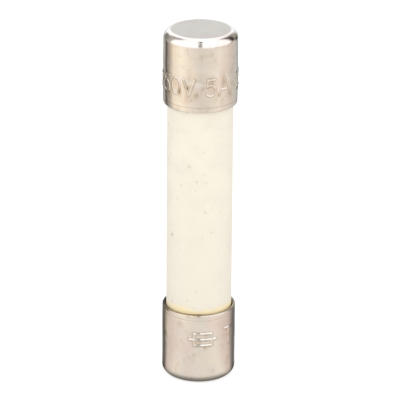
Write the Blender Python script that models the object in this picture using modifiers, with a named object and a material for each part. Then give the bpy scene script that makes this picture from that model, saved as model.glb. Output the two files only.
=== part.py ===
"""Time-delay cartridge fuse: a ceramic tube with two plated caps and a spring-loaded dual element.

The fuse stands on its lower cap. Z runs along its axis and z = 0 is the lower contact face.
Both ends are the same set of pieces, built in a frame whose z = 0 is the contact face and whose +Z
points into the fuse. The upper end is that frame turned over.
The fuse element is stacked down from the upper end: spring anchor, spring, trigger pin, heat absorber,
heater and ferrule. The short-circuit link takes the length that is left above the lower end, and the
sand that puts out its arc fills the tube round it, up to a fibre baffle on the ferrule.
"""

import math

import bmesh
import bpy

MM = 0.001

# Body
FUSE_LENGTH = 31.75 * MM
CAP_DIAMETER = 6.35 * MM
CAP_LENGTH = 6.5 * MM
CAP_WALL = 0.22 * MM
CAP_CORNER_RADIUS = 0.70 * MM
MOUTH_ROUNDING = 0.42 * MM  # how far back from the mouth the skirt starts to turn in
MOUTH_LIP = 0.07 * MM  # wall left at the mouth
TUBE_WALL = 0.80 * MM
TUBE_CHAMFER = 0.12 * MM
CEMENT_GAP = 0.105 * MM  # radial room between tube and cap skirt
CEMENT_LENGTH = 2.2 * MM
CEMENT_RECESS = 0.16 * MM  # how far the cement stays inside the mouth
WASHER_THICKNESS = 0.25 * MM

# Spring anchor, trigger pin and spring
ANCHOR_REACH = 3.0 * MM  # from the tube's end to the free end of the anchor
SHANK_DIAMETER = 0.80 * MM
HEAD_OVERHANG = 0.22 * MM
HEAD_THICKNESS = 0.30 * MM
NECK_LENGTH = 1.1 * MM
COLLAR_OVERHANG = 0.35 * MM
COLLAR_THICKNESS = 0.30 * MM
PIN_STANDOFF = 1.0 * MM  # from the heat absorber to the pin's collar
PIN_DEPTH = 1.6 * MM  # how deep the pin is soldered into the absorber
SPRING_WIRE = 0.24 * MM
SPRING_SPAN = 7.0 * MM  # between the two heads that it pulls on, stretched
SPRING_COILS = 8
SPRING_HEAD_CLEARANCE = 0.12 * MM
END_COILS = 1.25  # close turns round each neck
FLARE_COILS = 0.5  # turn in which the wire widens past the head

# Heat absorber, heater and link
SOLDER_WALL = 0.26 * MM  # radial thickness of the low-melting solder round the pin
SOLDER_BASE = 0.20 * MM
ABSORBER_WALL = 0.62 * MM
ABSORBER_LENGTH = 3.2 * MM
ABSORBER_CHAMFER = 0.15 * MM
CORE_DIAMETER = 0.90 * MM
CORE_SEAT = 0.6 * MM  # how far the core enters the absorber and the ferrule
HEATER_LENGTH = 4.6 * MM
HEATER_WIRE = 0.20 * MM
HEATER_PITCH = 0.46 * MM
FERRULE_WALL = 0.42 * MM
FERRULE_LENGTH = 1.8 * MM
LINK_SEAT = 0.8 * MM  # how far the link enters the ferrule
LINK_WIDTH = 1.2 * MM
LINK_THICKNESS = 0.14 * MM
NOTCH_RADIUS = 0.40 * MM
NOTCH_PITCH = 2.6 * MM
LINK_HOLE_CLEARANCE = 0.25 * MM
BAFFLE_THICKNESS = 0.40 * MM  # fibre disc that keeps the sand below the heater

# Fits, and how finely round shapes are cut
FIT_GAP = 0.02 * MM  # between pieces that touch
MERGE_DISTANCE = 0.001 * MM
BODY_SEGMENTS = 48
CORE_SEGMENTS = 24
ARC_STEPS = 4
NOTCH_STEPS = 6
COIL_STEPS = 12

# Sizes that follow
CAP_RADIUS = CAP_DIAMETER / 2
BORE_RADIUS = CAP_RADIUS - CAP_WALL
FILLET_RADIUS = CAP_CORNER_RADIUS - CAP_WALL
TUBE_RADIUS = BORE_RADIUS - CEMENT_GAP
TUBE_BORE_RADIUS = TUBE_RADIUS - TUBE_WALL
PAD_BASE = CAP_WALL + FIT_GAP
PAD_TOP = CAP_WALL + FILLET_RADIUS
WASHER_BASE = PAD_TOP + FIT_GAP
TUBE_BASE = WASHER_BASE + WASHER_THICKNESS + FIT_GAP
SHANK_RADIUS = SHANK_DIAMETER / 2
HEAD_RADIUS = SHANK_RADIUS + HEAD_OVERHANG
END_COIL_RADIUS = SHANK_RADIUS + FIT_GAP + SPRING_WIRE / 2
COIL_RADIUS = HEAD_RADIUS + SPRING_HEAD_CLEARANCE + SPRING_WIRE / 2
END_COIL_RISE = END_COILS * (SPRING_WIRE + FIT_GAP)
CORE_RADIUS = CORE_DIAMETER / 2
CORE_SOCKET_RADIUS = CORE_RADIUS + FIT_GAP
FERRULE_RADIUS = CORE_SOCKET_RADIUS + FERRULE_WALL
CUP_RADIUS = SHANK_RADIUS + SOLDER_WALL + FIT_GAP
CUP_DEPTH = PIN_DEPTH + SOLDER_BASE + 2 * FIT_GAP

# Places along the axis, from the top down
UPPER_TUBE_END = FUSE_LENGTH - TUBE_BASE
ANCHOR_END = UPPER_TUBE_END - ANCHOR_REACH
UPPER_BEARING = ANCHOR_END + HEAD_THICKNESS
LOWER_BEARING = UPPER_BEARING - SPRING_SPAN
COLLAR_BASE = LOWER_BEARING - NECK_LENGTH - COLLAR_THICKNESS
ABSORBER_TOP = COLLAR_BASE - PIN_STANDOFF
ABSORBER_BASE = ABSORBER_TOP - ABSORBER_LENGTH
FERRULE_TOP = ABSORBER_BASE - HEATER_LENGTH
FERRULE_BASE = FERRULE_TOP - FERRULE_LENGTH


def material(name, colour, roughness, metallic):
    """A Principled material with one colour, given as linear red, green and blue."""
    made = bpy.data.materials.new(name)
    made.use_nodes = True
    shader = made.node_tree.nodes["Principled BSDF"]
    shader.inputs["Base Color"].default_value = (*colour, 1.0)
    shader.inputs["Roughness"].default_value = roughness
    shader.inputs["Metallic"].default_value = metallic
    return made


def placed(obj, finish, parent, height=0.0):
    """Gives an object its material, its parent and its height on the axis."""
    obj.data.materials.append(finish)
    obj.parent = parent
    obj.location.z = height
    bpy.data.collections["cartridge_fuse"].objects.link(obj)
    return obj


def turned(name, profile, finish, parent, segments=CORE_SEGMENTS, closed=False):
    """A profile of (radius, height) points swept round Z. It runs down the outer side."""
    mesh = bpy.data.meshes.new(name)
    edges = [(i, i + 1) for i in range(len(profile) - 1)]
    if closed:
        edges.append((len(profile) - 1, 0))
    mesh.from_pydata([(radius, 0.0, height) for radius, height in profile], edges, [])
    obj = placed(bpy.data.objects.new(name, mesh), finish, parent)
    screw = obj.modifiers.new("turn", "SCREW")
    screw.steps = segments
    screw.render_steps = segments
    screw.use_merge_vertices = True
    screw.merge_threshold = MERGE_DISTANCE
    screw.use_smooth_shade = True
    return obj


def ring(name, inner, outer, base, top, finish, parent, segments=CORE_SEGMENTS):
    """A plain round sleeve or washer between two radii."""
    profile = [(inner, top), (outer, top), (outer, base), (inner, base)]
    return turned(name, profile, finish, parent, segments, closed=True)


def arc(centre, radius, start, end, height_radius=None):
    """Points on an arc, in degrees from +X towards +Z, both ends included."""
    rise = radius if height_radius is None else height_radius
    angles = [math.radians(start + (end - start) * i / ARC_STEPS) for i in range(ARC_STEPS + 1)]
    return [(centre[0] + radius * math.cos(a), centre[1] + rise * math.sin(a)) for a in angles]


def link_slot(obj, base, top):
    """Cuts the slot that the link passes through, between two heights in the object's own frame."""
    width = LINK_WIDTH + 2 * FIT_GAP
    depth = LINK_THICKNESS + 2 * FIT_GAP
    mesh = bpy.data.meshes.new(obj.name + "_slot")
    shape = bmesh.new()
    bmesh.ops.create_cube(shape, size=1.0)
    bmesh.ops.scale(shape, vec=(width, depth, top - base), verts=shape.verts)
    bmesh.ops.translate(shape, vec=(0, 0, (base + top) / 2), verts=shape.verts)
    shape.to_mesh(mesh)
    shape.free()
    cutter = bpy.data.objects.new(mesh.name, mesh)
    cutter.parent = obj.parent
    cutter.hide_render = True
    cutter.display_type = "WIRE"
    bpy.data.collections["cutters"].objects.link(cutter)
    cut = obj.modifiers.new("slot", "BOOLEAN")
    cut.operation = "DIFFERENCE"
    cut.object = cutter


def wire(name, points, diameter, finish, parent):
    """A round wire along a list of points."""
    curve = bpy.data.curves.new(name, "CURVE")
    curve.dimensions = "3D"
    curve.bevel_depth = diameter / 2
    curve.bevel_resolution = 2
    curve.use_fill_caps = True
    spline = curve.splines.new("POLY")
    spline.points.add(len(points) - 1)
    for point, place in zip(spline.points, points):
        point.co = (*place, 1.0)
    return placed(bpy.data.objects.new(name, curve), finish, parent)


def cap(name, finish, end):
    """A drawn cup: flat contact face, round corner, straight skirt and a mouth that is turned in."""
    lip_radius = BORE_RADIUS + MOUTH_LIP
    corner = (CAP_RADIUS - CAP_CORNER_RADIUS, CAP_CORNER_RADIUS)
    fillet = (BORE_RADIUS - FILLET_RADIUS, CAP_WALL + FILLET_RADIUS)
    mouth = (lip_radius, CAP_LENGTH - MOUTH_ROUNDING)
    profile = [(0, CAP_WALL)]
    profile += arc(fillet, FILLET_RADIUS, 270, 360)
    profile += [(BORE_RADIUS, CAP_LENGTH), (lip_radius, CAP_LENGTH)]
    profile += arc(mouth, CAP_RADIUS - lip_radius, 90, 0, MOUTH_ROUNDING)[1:]
    profile += arc(corner, CAP_CORNER_RADIUS, 0, -90)
    profile += [(0, 0)]
    return turned(name, profile, finish, end, BODY_SEGMENTS)


def tube(finish, parent):
    """The ceramic body, with a small chamfer on each outer edge."""
    outer, inner = TUBE_RADIUS, TUBE_BORE_RADIUS
    top, base = UPPER_TUBE_END, TUBE_BASE
    profile = [
        (inner, top),
        (outer - TUBE_CHAMFER, top),
        (outer, top - TUBE_CHAMFER),
        (outer, base + TUBE_CHAMFER),
        (outer - TUBE_CHAMFER, base),
        (inner, base),
    ]
    return turned("ceramic_tube", profile, finish, parent, BODY_SEGMENTS, closed=True)


def end_pieces(side, finishes, end, hole_radius, pad_hole):
    """The cap, cement, solder pad and fibre washer of one end, in that end's frame."""
    cap(side + "_cap", finishes["nickel"], end)
    cement_top = CAP_LENGTH - CEMENT_RECESS
    ring(
        side + "_cement_ring",
        TUBE_RADIUS + FIT_GAP,
        BORE_RADIUS - FIT_GAP,
        cement_top - CEMENT_LENGTH,
        cement_top,
        finishes["cement"],
        end,
        BODY_SEGMENTS,
    )
    pad_radius = BORE_RADIUS - FILLET_RADIUS
    if pad_hole:
        ring(side + "_solder_pad", pad_hole, pad_radius, PAD_BASE, PAD_TOP, finishes["solder"], end)
    else:
        disc = [(0, PAD_TOP), (pad_radius, PAD_TOP), (pad_radius, PAD_BASE), (0, PAD_BASE)]
        pad = turned(side + "_solder_pad", disc, finishes["solder"], end)
        link_slot(pad, PAD_BASE - CAP_WALL, PAD_TOP + CAP_WALL)
    ring(
        side + "_fibre_washer",
        hole_radius,
        BORE_RADIUS - FIT_GAP,
        WASHER_BASE,
        WASHER_BASE + WASHER_THICKNESS,
        finishes["fibre"],
        end,
        BODY_SEGMENTS,
    )


def spring_anchor(finish, parent):
    """A headed stud that stands in the upper solder pad and holds the spring."""
    shank_top = FUSE_LENGTH - PAD_BASE
    profile = [
        (0, shank_top),
        (SHANK_RADIUS, shank_top),
        (SHANK_RADIUS, UPPER_BEARING),
        (HEAD_RADIUS, UPPER_BEARING),
        (HEAD_RADIUS, ANCHOR_END),
        (0, ANCHOR_END),
    ]
    return turned("spring_anchor", profile, finish, parent)


def trigger_pin(finish, parent, seat):
    """The pin that the spring pulls out: head, neck, collar and soldered shank, from its seat up."""
    head_base = LOWER_BEARING - seat
    collar_base = COLLAR_BASE - seat
    collar_radius = SHANK_RADIUS + COLLAR_OVERHANG
    profile = [
        (0, head_base + HEAD_THICKNESS),
        (HEAD_RADIUS, head_base + HEAD_THICKNESS),
        (HEAD_RADIUS, head_base),
        (SHANK_RADIUS, head_base),
        (SHANK_RADIUS, collar_base + COLLAR_THICKNESS),
        (collar_radius, collar_base + COLLAR_THICKNESS),
        (collar_radius, collar_base),
        (SHANK_RADIUS, collar_base),
        (SHANK_RADIUS, 0),
        (0, 0),
    ]
    return turned("trigger_pin", profile, finish, parent)


def spring_path():
    """Points along the spring: close turns round one neck, a flare, open coils, and the same reversed."""
    end_turns = END_COILS + FLARE_COILS
    turns = 2 * end_turns + SPRING_COILS
    wire_seat = FIT_GAP + SPRING_WIRE / 2
    flare_low = LOWER_BEARING - wire_seat
    flare_high = UPPER_BEARING + wire_seat
    steps = round(turns * COIL_STEPS)
    points = []
    for i in range(steps + 1):
        turn = turns * i / steps
        from_end = min(turn, turns - turn)
        flare = min(1.0, max(0.0, (from_end - END_COILS) / FLARE_COILS))
        radius = END_COIL_RADIUS + (COIL_RADIUS - END_COIL_RADIUS) * flare * flare * (3 - 2 * flare)
        behind = END_COIL_RISE * (1 - min(1.0, from_end / END_COILS))
        if turn < end_turns:
            height = flare_low - behind
        elif turn > turns - end_turns:
            height = flare_high + behind
        else:
            height = flare_low + (flare_high - flare_low) * (turn - end_turns) / SPRING_COILS
        angle = 2 * math.pi * turn
        points.append((radius * math.cos(angle), radius * math.sin(angle), height))
    return points


def heat_absorber(finish, parent):
    """The copper slug: a cup for the low-melting solder on top, a seat for the heater core below."""
    outer = CUP_RADIUS + ABSORBER_WALL
    seat_top = ABSORBER_BASE + CORE_SEAT + FIT_GAP
    profile = [
        (0, ABSORBER_TOP - CUP_DEPTH),
        (CUP_RADIUS, ABSORBER_TOP - CUP_DEPTH),
        (CUP_RADIUS, ABSORBER_TOP),
        (outer - ABSORBER_CHAMFER, ABSORBER_TOP),
        (outer, ABSORBER_TOP - ABSORBER_CHAMFER),
        (outer, ABSORBER_BASE + ABSORBER_CHAMFER),
        (outer - ABSORBER_CHAMFER, ABSORBER_BASE),
        (CORE_SOCKET_RADIUS, ABSORBER_BASE),
        (CORE_SOCKET_RADIUS, seat_top),
        (0, seat_top),
    ]
    return turned("heat_absorber", profile, finish, parent)


def thermal_solder(finish, parent):
    """The low-melting solder: a cup that fills the absorber's bore round the pin."""
    base = ABSORBER_TOP - CUP_DEPTH + FIT_GAP
    bore = SHANK_RADIUS + FIT_GAP
    profile = [
        (0, base + SOLDER_BASE),
        (bore, base + SOLDER_BASE),
        (bore, ABSORBER_TOP),
        (CUP_RADIUS - FIT_GAP, ABSORBER_TOP),
        (CUP_RADIUS - FIT_GAP, base),
        (0, base),
    ]
    return turned("thermal_solder", profile, finish, parent)


def heater(core_finish, wire_finish, parent):
    """A rod with resistance wire wound round it, held between the ferrule and the absorber."""
    base = FERRULE_TOP - CORE_SEAT
    top = ABSORBER_BASE + CORE_SEAT
    rod = [(0, top), (CORE_RADIUS, top), (CORE_RADIUS, base), (0, base)]
    turned("heater_core", rod, core_finish, parent)
    first = FERRULE_TOP + FIT_GAP + HEATER_WIRE / 2
    last = ABSORBER_BASE - FIT_GAP - HEATER_WIRE / 2
    turns = math.floor((last - first) / HEATER_PITCH)
    radius = CORE_RADIUS + 2 * FIT_GAP + HEATER_WIRE / 2
    steps = turns * COIL_STEPS
    points = []
    for i in range(steps + 1):
        angle = 2 * math.pi * i / COIL_STEPS
        height = first + (last - first) * i / steps
        points.append((radius * math.cos(angle), radius * math.sin(angle), height))
    wire("heater_winding", points, HEATER_WIRE, wire_finish, parent)


def link_ferrule(finish, parent):
    """The sleeve that joins the link to the heater: a seat for the core above, a slot for the link below."""
    seat_base = FERRULE_TOP - CORE_SEAT - FIT_GAP
    profile = [
        (0, seat_base),
        (CORE_SOCKET_RADIUS, seat_base),
        (CORE_SOCKET_RADIUS, FERRULE_TOP),
        (FERRULE_RADIUS, FERRULE_TOP),
        (FERRULE_RADIUS, FERRULE_BASE),
        (0, FERRULE_BASE),
    ]
    ferrule = turned("link_ferrule", profile, finish, parent)
    link_slot(ferrule, FERRULE_BASE - LINK_SEAT, FERRULE_BASE + LINK_SEAT)


def link_side(length, free_start, free_length):
    """One edge of the link from its foot up, with a round notch for each weak spot."""
    half = LINK_WIDTH / 2
    notches = max(1, math.floor(free_length / NOTCH_PITCH))
    pitch = free_length / notches
    side = [(half, 0.0)]
    for n in range(notches):
        centre = free_start + pitch * (n + 0.5)
        for i in range(NOTCH_STEPS + 1):
            angle = math.radians(180 * i / NOTCH_STEPS - 90)
            across = half - NOTCH_RADIUS * math.cos(angle)
            side.append((across, centre + NOTCH_RADIUS * math.sin(angle)))
    side.append((half, length))
    return side


def short_circuit_link(finish, parent):
    """A thin strip with weak spots, from the lower solder pad up into the ferrule."""
    foot = PAD_BASE
    length = FERRULE_BASE + LINK_SEAT - FIT_GAP - foot
    right = link_side(length, TUBE_BASE - foot, FERRULE_BASE - TUBE_BASE)
    outline = right + [(-x, y) for x, y in reversed(right)]
    curve = bpy.data.curves.new("short_circuit_link", "CURVE")
    curve.dimensions = "2D"
    curve.fill_mode = "BOTH"
    curve.extrude = LINK_THICKNESS / 2
    spline = curve.splines.new("POLY")
    spline.points.add(len(outline) - 1)
    for point, place in zip(spline.points, outline):
        point.co = (*place, 0.0, 1.0)
    spline.use_cyclic_u = True
    strip = placed(bpy.data.objects.new(curve.name, curve), finish, parent, foot)
    strip.rotation_euler.x = math.pi / 2
    return strip


def filler(sand_finish, fibre_finish, parent):
    """The packed sand round the link, as one solid, and the fibre baffle that closes it off."""
    top = FERRULE_BASE - FIT_GAP
    radius = TUBE_BORE_RADIUS - FIT_GAP
    column = [(0, top), (radius, top), (radius, TUBE_BASE), (0, TUBE_BASE)]
    sand = turned("quartz_sand", column, sand_finish, parent, BODY_SEGMENTS)
    link_slot(sand, TUBE_BASE - LINK_SEAT, FERRULE_BASE + LINK_SEAT)
    ring(
        "fibre_baffle",
        FERRULE_RADIUS + FIT_GAP,
        radius,
        FERRULE_BASE,
        FERRULE_BASE + BAFFLE_THICKNESS,
        fibre_finish,
        parent,
        BODY_SEGMENTS,
    )


def group(name, height=0.0, turned_over=False):
    """An empty that carries a set of pieces."""
    empty = bpy.data.objects.new(name, None)
    empty.location.z = height
    empty.rotation_euler.x = math.pi if turned_over else 0.0
    bpy.data.collections["cartridge_fuse"].objects.link(empty)
    return empty


def clear_scene():
    """Removes the startup objects and makes the two collections."""
    for obj in list(bpy.data.objects):
        bpy.data.objects.remove(obj)
    for name in ("cartridge_fuse", "cutters"):
        bpy.context.scene.collection.children.link(bpy.data.collections.new(name))


def main():
    clear_scene()
    finishes = {
        "nickel": material("nickel_plated_brass", (0.66, 0.60, 0.52), 0.22, 1.0),
        "ceramic": material("fired_ceramic", (0.90, 0.84, 0.71), 0.60, 0.0),
        "cement": material("cap_cement", (0.62, 0.46, 0.20), 0.55, 0.0),
        "solder": material("tin_solder", (0.55, 0.55, 0.56), 0.35, 1.0),
        "fibre": material("vulcanised_fibre", (0.36, 0.10, 0.06), 0.75, 0.0),
        "brass": material("turned_brass", (0.80, 0.60, 0.28), 0.28, 1.0),
        "copper": material("copper", (0.84, 0.40, 0.26), 0.30, 1.0),
        "glass_fibre": material("glass_fibre_rod", (0.82, 0.82, 0.76), 0.70, 0.0),
        "resistance": material("resistance_wire", (0.42, 0.38, 0.34), 0.38, 1.0),
        "bronze": material("spring_bronze", (0.72, 0.46, 0.26), 0.30, 1.0),
        "alloy": material("low_melting_solder", (0.60, 0.61, 0.64), 0.28, 1.0),
        "sand": material("quartz_sand", (0.78, 0.71, 0.58), 0.95, 0.0),
    }
    lower_end = group("lower_end")
    upper_end = group("upper_end", FUSE_LENGTH, turned_over=True)
    element = group("fuse_element")
    pin_seat = ABSORBER_TOP - PIN_DEPTH
    trigger = group("trigger", pin_seat)

    tube(finishes["ceramic"], element)
    end_pieces("lower", finishes, lower_end, LINK_WIDTH / 2 + LINK_HOLE_CLEARANCE, None)
    shank_hole = SHANK_RADIUS + FIT_GAP
    end_pieces("upper", finishes, upper_end, shank_hole, shank_hole)
    spring_anchor(finishes["brass"], element)
    wire("trigger_spring", spring_path(), SPRING_WIRE, finishes["bronze"], element)
    trigger_pin(finishes["brass"], trigger, pin_seat)
    heat_absorber(finishes["copper"], element)
    thermal_solder(finishes["alloy"], element)
    heater(finishes["glass_fibre"], finishes["resistance"], element)
    link_ferrule(finishes["brass"], element)
    short_circuit_link(finishes["copper"], element)
    filler(finishes["sand"], finishes["fibre"], element)


main()
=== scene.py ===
"""Looks of a ceramic cartridge fuse, laid out as a Blender add-on and run as a script.

Every piece is a surface worked out as arrays: a turned profile, a wire along a path or a stamped sheet.
Places and overall sizes come from the CAD frame; the sizes below are what the frame doesn't say.
"""

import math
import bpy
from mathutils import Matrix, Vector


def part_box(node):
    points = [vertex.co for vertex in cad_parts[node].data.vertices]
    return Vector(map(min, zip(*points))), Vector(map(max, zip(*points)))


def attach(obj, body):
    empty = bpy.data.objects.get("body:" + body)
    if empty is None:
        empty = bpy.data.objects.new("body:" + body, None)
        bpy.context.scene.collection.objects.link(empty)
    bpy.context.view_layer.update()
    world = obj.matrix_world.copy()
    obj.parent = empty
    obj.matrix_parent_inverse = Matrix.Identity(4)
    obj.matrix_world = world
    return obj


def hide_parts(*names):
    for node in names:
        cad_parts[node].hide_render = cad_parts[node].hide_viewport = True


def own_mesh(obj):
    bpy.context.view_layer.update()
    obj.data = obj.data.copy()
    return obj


bl_info = {
    "name": "Ceramic Cartridge Fuse",
    "version": (1, 0, 0),
    "blender": (4, 5, 0),
    "location": "3D View > Sidebar > Fuse",
    "description": "Builds a ceramic cartridge fuse with plated caps and a time-delay element",
    "category": "Add Mesh",
}

from functools import partial

import bpy
import numpy as np
from bpy.props import FloatProperty, FloatVectorProperty, IntProperty, PointerProperty, StringProperty
from mathutils import Matrix, Vector

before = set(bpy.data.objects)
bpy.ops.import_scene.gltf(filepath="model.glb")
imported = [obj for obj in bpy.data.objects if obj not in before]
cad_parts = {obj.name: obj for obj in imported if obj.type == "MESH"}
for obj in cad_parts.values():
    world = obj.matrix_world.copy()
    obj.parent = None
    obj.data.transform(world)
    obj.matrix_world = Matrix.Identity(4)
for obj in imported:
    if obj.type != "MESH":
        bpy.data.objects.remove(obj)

MM = 0.001
TURN = 2 * math.pi

# The frame's own places, read once
FUSE_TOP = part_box("upper_cap")[1].z
CAP_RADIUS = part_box("lower_cap")[1].x
CAP_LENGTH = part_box("lower_cap")[1].z
TUBE_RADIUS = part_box("ceramic_tube")[1].x
TUBE_ENDS = (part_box("ceramic_tube")[0].z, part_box("ceramic_tube")[1].z)
LINK_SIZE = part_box("short_circuit_link")[1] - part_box("short_circuit_link")[0]

# Sizes of the thin sheet and the small metal parts, which a box doesn't show
CAP_WALL = 0.22 * MM
CORNER_RADIUS = 0.70 * MM
MOUTH_ROUNDING = 0.42 * MM
MOUTH_LIP = 0.105 * MM
TUBE_WALL = 0.80 * MM
SMALL_ROUNDING = 0.05 * MM
SHANK_RADIUS = 0.40 * MM
HEAD_RADIUS = 0.62 * MM
CUP_RADIUS = 0.68 * MM
CORE_SOCKET_RADIUS = 0.47 * MM
CORE_SEAT = 0.6 * MM
HEAD_THICKNESS = 0.30 * MM
COLLAR_DROP = 1.1 * MM
FIT_GAP = 0.02 * MM

# The mark that the die left below the turned-in mouth, and the height of the lower lip's band of soil and
# painted shade
CREASE_WIDTH = 0.05 * MM
CREASE_DEPTH = 0.012 * MM
LIP_HEIGHT = 0.16 * MM

# The camera looks along +Y, so this is the bearing of the front
FRONT = -math.pi / 2

# Single-stroke letters in a box one unit high, with this gap between them. A stroke is a line
# (x, y, x, y) or an arc (centre x, centre y, radius x, radius y, from degrees, to degrees). The last
# number is the width.
LETTER_GAP = 0.24
GLYPHS = {
    "0": ([(0.28, 0.5, 0.28, 0.5, 0, 360)], 0.56),
    "2": ([(0.28, 0.72, 0.28, 0.28, 165, -38), (0.50, 0.55, 0.0, 0.0), (0.0, 0.0, 0.58, 0.0)], 0.58),
    "5": ([(0.52, 1.0, 0.1, 1.0), (0.1, 1.0, 0.06, 0.56), (0.27, 0.33, 0.29, 0.33, 135, -140)], 0.56),
    "A": ([(0.0, 0.0, 0.34, 1.0), (0.34, 1.0, 0.68, 0.0), (0.12, 0.34, 0.56, 0.34)], 0.68),
    "T": ([(0.0, 1.0, 0.62, 1.0), (0.31, 1.0, 0.31, 0.0)], 0.62),
    "V": ([(0.0, 1.0, 0.34, 0.0), (0.34, 0.0, 0.68, 1.0)], 0.68),
    " ": ([], 0.20),
    # The drawing-office sign for a fuse: a box with its wire running through it
    "=": (
        [(0.26, 0.88, 1.34, 0.88), (0.26, 0.12, 1.34, 0.12), (0.26, 0.12, 0.26, 0.88)]
        + [(1.34, 0.12, 1.34, 0.88), (0.0, 0.5, 1.6, 0.5)],
        1.6,
    ),
}


def linear(hex_colour):
    """A colour as linear red, green and blue, from an sRGB hex value."""
    channels = [int(hex_colour[i : i + 2], 16) / 255 for i in (1, 3, 5)]
    return tuple(c / 12.92 if c <= 0.04045 else ((c + 0.055) / 1.055) ** 2.4 for c in channels)


# Sizes and colours that a user would change


def length(name, description, default):
    """A setting that is a length, from its size in metres."""
    return FloatProperty(name=name, description=description, default=default, unit="LENGTH")


def colour(name, description, default):
    """A setting that is a colour, from its sRGB hex value."""
    return FloatVectorProperty(
        name=name, description=description, default=linear(default), subtype="COLOR"
    )


class FuseCapSettings(bpy.types.PropertyGroup):
    """Stamping and finish of the end caps."""

    columns: IntProperty(
        name="Columns", description="Faces round each cap", default=560, min=64, max=560
    )
    rating: StringProperty(
        name="Rating", description="Text stamped round the upper cap", default="5A 250V 5A 250V"
    )
    sign: StringProperty(
        name="Sign", description="Text stamped on the lower cap; = is the fuse sign", default="= T"
    )
    letter_height: length("Letter Height", "Height of the stamped letters", 1.45 * MM)
    stroke: length("Stroke", "Half width of a stamped stroke", 0.08 * MM)
    relief: length("Relief", "How far the letters stand out", 0.040 * MM)
    from_mouth: length("From Mouth", "Distance from the mouth to the middle of the letters", 2.25 * MM)
    waviness: length("Waviness", "Unevenness of the drawn skirt", 0.005 * MM)
    bulge: length("Bulge", "How far the sheet round the letters was pushed out with them", 0.045 * MM)
    nickel: colour("Nickel", "Colour of the plating", "#D5CEC2")
    roughness: FloatProperty(
        name="Roughness", description="Of the plating", default=0.12, min=0, max=1, subtype="FACTOR"
    )


class FuseTubeSettings(bpy.types.PropertyGroup):
    """Finish of the ceramic tube and its cement."""

    ceramic: colour("Ceramic", "Colour of the fired body", "#E6DFD0")
    stain: colour("Stain", "Colour that the cement gives it", "#EFDDB0")
    fleck: colour("Fleck", "Colour of the dark specks", "#B9B2A2")
    cement: colour("Cement", "Colour of the cap cement", "#74521F")
    cement_rise: length("Cement Rise", "How far the cement climbs the tube past the mouth", 0.05 * MM)
    cement_slump: length("Cement Slump", "How much deeper the cement lies at the back", 0.45 * MM)


class FuseElementSettings(bpy.types.PropertyGroup):
    """Windings of the element inside the tube."""

    spring_coils: IntProperty(name="Spring Coils", description="Open coils", default=8, min=3, max=20)
    spring_wire: length("Spring Wire", "Diameter of its wire", 0.24 * MM)
    heater_wire: length("Heater Wire", "Diameter of the heater's wire", 0.20 * MM)
    heater_pitch: length("Heater Pitch", "Distance between its turns", 0.46 * MM)


class FuseStageSettings(bpy.types.PropertyGroup):
    """Camera and studio."""

    elevation: FloatProperty(
        name="Elevation", description="Camera's height angle", default=math.radians(22.0), subtype="ANGLE"
    )
    distance: length("Distance", "Camera to the middle of the fuse", 0.296)
    lens: FloatProperty(name="Lens", description="Focal length in millimetres", default=307.8)
    roll: FloatProperty(
        name="Roll", description="How far the camera is rolled", default=math.radians(0.45), subtype="ANGLE"
    )
    paper: colour("Paper", "Colour of the floor", "#C4C4C3")


# Arrays


def line(start, end, count):
    """Points from start towards end, without the end itself."""
    t = np.linspace(0.0, 1.0, count, endpoint=False)[:, None]
    return (1 - t) * np.array(start, float) + t * np.array(end, float)


def arc(centre, radius, first, last, count):
    """Points on an arc between two angles in degrees, without its last one."""
    a = np.radians(np.linspace(first, last, count, endpoint=False))
    return np.stack([centre[0] + radius * np.cos(a), centre[1] + radius * np.sin(a)], 1)


def rounded(corners, radius, steps=5):
    """A profile of (radius, height) corners with every inner corner turned into a small arc.

    Each corner is replaced by a quadratic curve that starts and ends at the given distance from it, and
    each straight run gets a row close to either end, so that smooth shading stays flat in between.
    """
    corners = np.array(corners, float)
    rows = [corners[0]]
    for before, corner, after in zip(corners[:-2], corners[1:-1], corners[2:]):
        back, ahead = before - corner, after - corner
        cut_back = min(radius, 0.4 * np.linalg.norm(back))
        cut_ahead = min(radius, 0.4 * np.linalg.norm(ahead))
        start = corner + back / np.linalg.norm(back) * cut_back
        end = corner + ahead / np.linalg.norm(ahead) * cut_ahead
        t = np.linspace(0.0, 1.0, steps + 1)[:, None]
        rows.append(corner + (start - corner) * 1.25)
        rows.extend((1 - t) ** 2 * start + 2 * t * (1 - t) * corner + t**2 * end)
        rows.append(corner + (end - corner) * 1.25)
    rows.append(corners[-1])
    return np.array(rows)


def outward(profile):
    """The outward unit normal at each point of a profile that runs down its outer side."""
    along = np.gradient(profile, axis=0)
    across = np.stack([-along[:, 1], along[:, 0]], 1)
    return across / np.maximum(np.linalg.norm(across, axis=1, keepdims=True), 1e-12)


def bell(x):
    """A bell curve: 1 at 0, falling to nothing past 2."""
    return np.exp(-(x**2))


def aside(angle, bearing):
    """How far an angle lies from a bearing, from minus to plus half a turn."""
    return (angle - bearing + math.pi) % TURN - math.pi


def waves(angle, height, seed, coarsest=9.0 * MM, count=14):
    """A smooth, uneven field from -1 to 1 on a cylinder.

    It is a sum of cosines, each with a whole number of periods round the axis and a random phase and
    wavelength along it, so it closes on itself.
    """
    draw = np.random.default_rng(seed)
    field = np.zeros(np.broadcast(angle, height).shape)
    for _ in range(count):
        round_axis = draw.integers(0, 7)
        along_axis = draw.uniform(0.2, 3.0) / coarsest * TURN
        phase = draw.uniform(0.0, TURN)
        field = field + np.cos(round_axis * angle + along_axis * height + phase)
    return field / math.sqrt(count) / 2


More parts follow.
